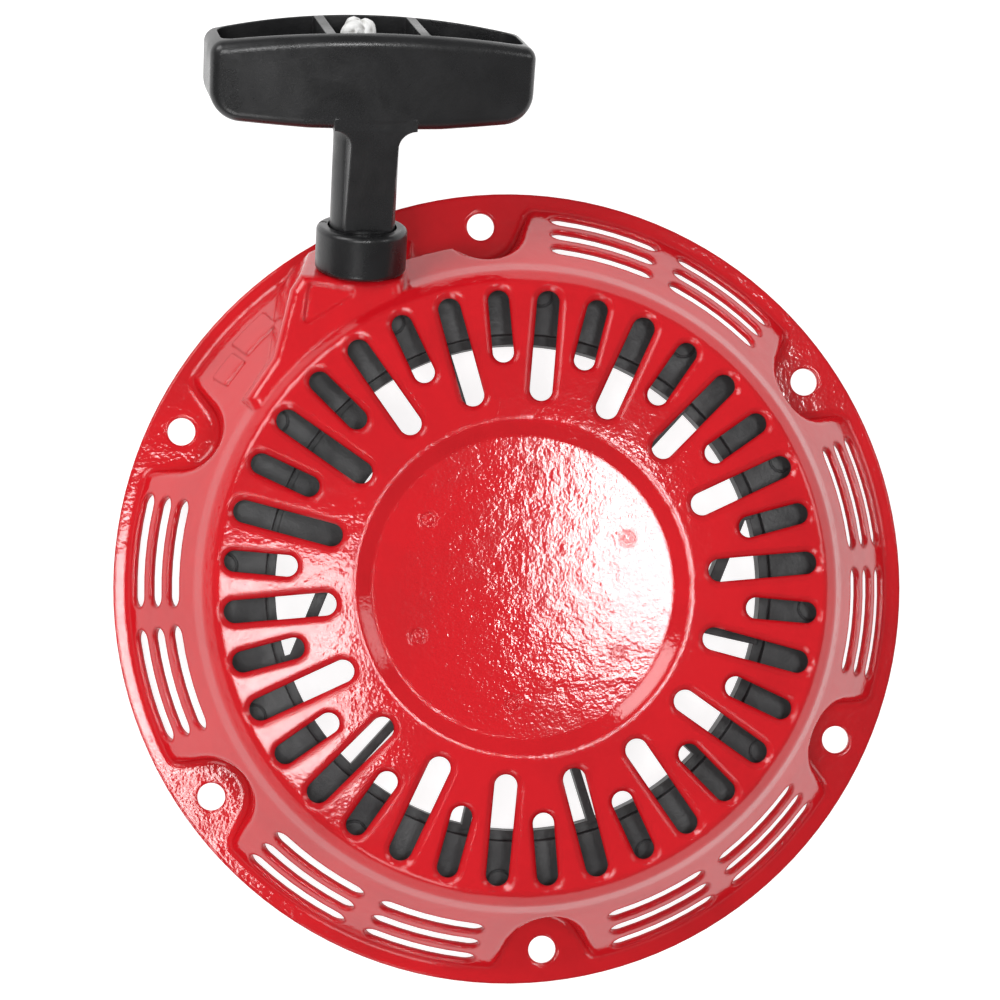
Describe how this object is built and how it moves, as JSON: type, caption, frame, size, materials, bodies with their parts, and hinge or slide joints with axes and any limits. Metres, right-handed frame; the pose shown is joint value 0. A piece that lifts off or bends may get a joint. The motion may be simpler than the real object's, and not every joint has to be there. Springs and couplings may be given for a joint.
{
  "type": "recoil starter",
  "caption": "Hand-pull engine starter: a round slotted pressed-steel case with a bolt flange, a spring-returned rope reel with ratchet pawls inside, and a T-grip on the rope.",
  "frame": {"origin": "centre of the bolt circle on the flange's mounting face", "axes": "+Z out through the domed face, along the reel's axis; +Y towards the side that the rope leaves by"},
  "size_m": [0.2154, 0.2548, 0.0682],
  "materials": {
    "case_paint": "gloss red enamel on pressed steel",
    "turned_steel": "turned",
    "guide_plastic": "black moulded, satin",
    "reel_plastic": "black glass-filled nylon, matt",
    "plated_steel": "zinc plated",
    "spring_steel": "blued spring steel",
    "pawl_steel": "hardened and oiled",
    "guide_nylon": "natural nylon",
    "zinc_steel": "yellow zinc plated",
    "rope_braid": "white braided nylon",
    "grip_plastic": "black moulded, satin"
  },
  "bodies": {
    "housing": {"starter_case": "case_paint", "hub_plate": "case_paint", "center_post": "turned_steel", "rope_guide": "guide_plastic", "setting_screw": "zinc_steel", "screw_washer": "plated_steel", "rope_lead": "rope_braid"},
    "reel_body": {"reel": "reel_plastic", "spring_cover": "plated_steel", "recoil_spring": "spring_steel", "pawl_spring_a": "spring_steel", "pawl_spring_b": "spring_steel", "rope_wound": "rope_braid", "reel_knot": "rope_braid"},
    "pawl_a_body": {"pawl_a": "pawl_steel"},
    "pawl_b_body": {"pawl_b": "pawl_steel"},
    "guide_body": {"ratchet_guide": "guide_nylon", "friction_spring": "spring_steel"},
    "handle": {"grip": "grip_plastic", "grip_reinforcement": "plated_steel", "grip_knot": "rope_braid", "rope_tail": "rope_braid"}
  },
  "joints": [
    {"name": "handle_pull", "type": "slide", "parent": "housing", "child": "handle", "axis": [0.0319, 0.913, 0.4067], "range_m": [0, 1.2], "stiffness_N_per_m": 8, "springref_m": -0.6},
    {"name": "reel_spin", "type": "hinge", "parent": "housing", "child": "reel_body", "pos_m": [0, 0, 0.0255], "axis": [0, 0, 1], "range_deg": [-920, 0], "deforming": ["recoil_spring"]},
    {"name": "ratchet_guide_turn", "type": "hinge", "parent": "reel_body", "child": "guide_body", "pos_m": [0, 0, 0.0047], "axis": [0, 0, 1], "range_deg": [0, 30]},
    {"name": "pawl_a_swing", "type": "hinge", "parent": "reel_body", "child": "pawl_a_body", "pos_m": [0.024, 0, 0.0091], "axis": [0, 0, 1], "range_deg": [0, 30]},
    {"name": "pawl_b_swing", "type": "hinge", "parent": "reel_body", "child": "pawl_b_body", "pos_m": [-0.024, 0, 0.0091], "axis": [0, 0, 1], "range_deg": [0, 30]}
  ],
  "couplings": [
    {"joint": "reel_spin", "follows": "handle_pull", "rad_per_m": -13.316},
    {"joint": "pawl_a_swing", "follows": "ratchet_guide_turn", "ratio": 1},
    {"joint": "pawl_b_swing", "follows": "ratchet_guide_turn", "ratio": 1}
  ]
}
